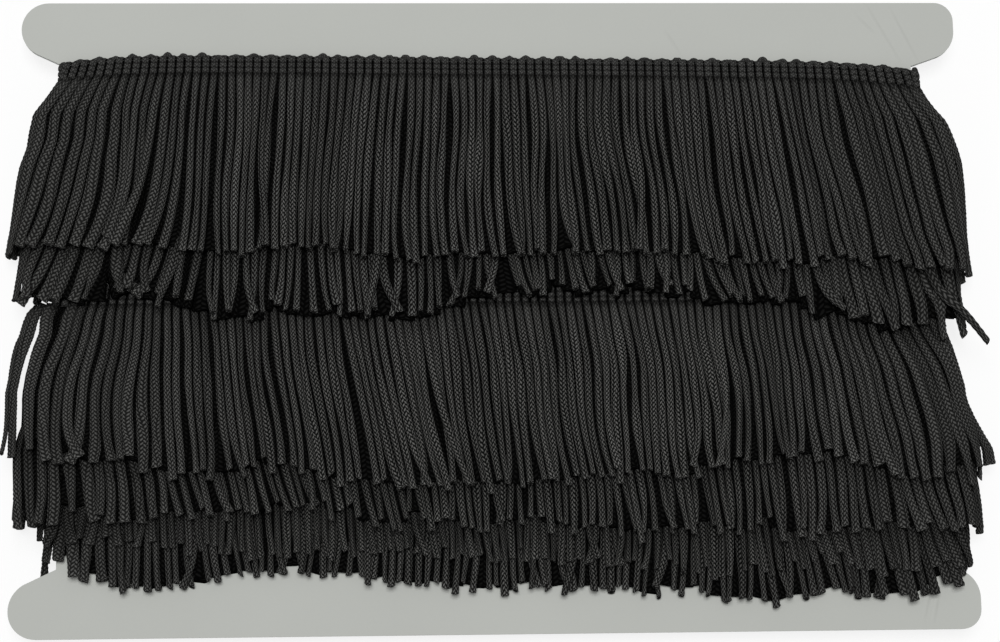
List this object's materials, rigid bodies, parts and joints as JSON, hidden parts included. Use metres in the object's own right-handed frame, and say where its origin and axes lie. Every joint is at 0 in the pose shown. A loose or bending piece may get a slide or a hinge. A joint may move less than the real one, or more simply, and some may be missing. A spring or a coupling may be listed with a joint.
{
  "type": "chainette fringe trim wound on a card",
  "caption": "Length of dark looped-cord fringe with a narrow knitted heading, wound flat on an I-shaped grey card.",
  "frame": {"origin": "middle of the underside of the wound trim, on the surface it lies on", "axes": "+X along the card's long sides, +Y up the face of the card towards the outermost turn's heading, +Z out of the face, away from the surface"},
  "size_m": [0.2666, 0.1748, 0.0168],
  "materials": {
    "card": "smooth matt grey board",
    "heading": "tight knitted band of black yarn",
    "fringe": "soft knitted chainette cords"
  },
  "bodies": {
    "root": {"card": "card", "heading": "heading", "fringe": "fringe"}
  },
  "joints": []
}
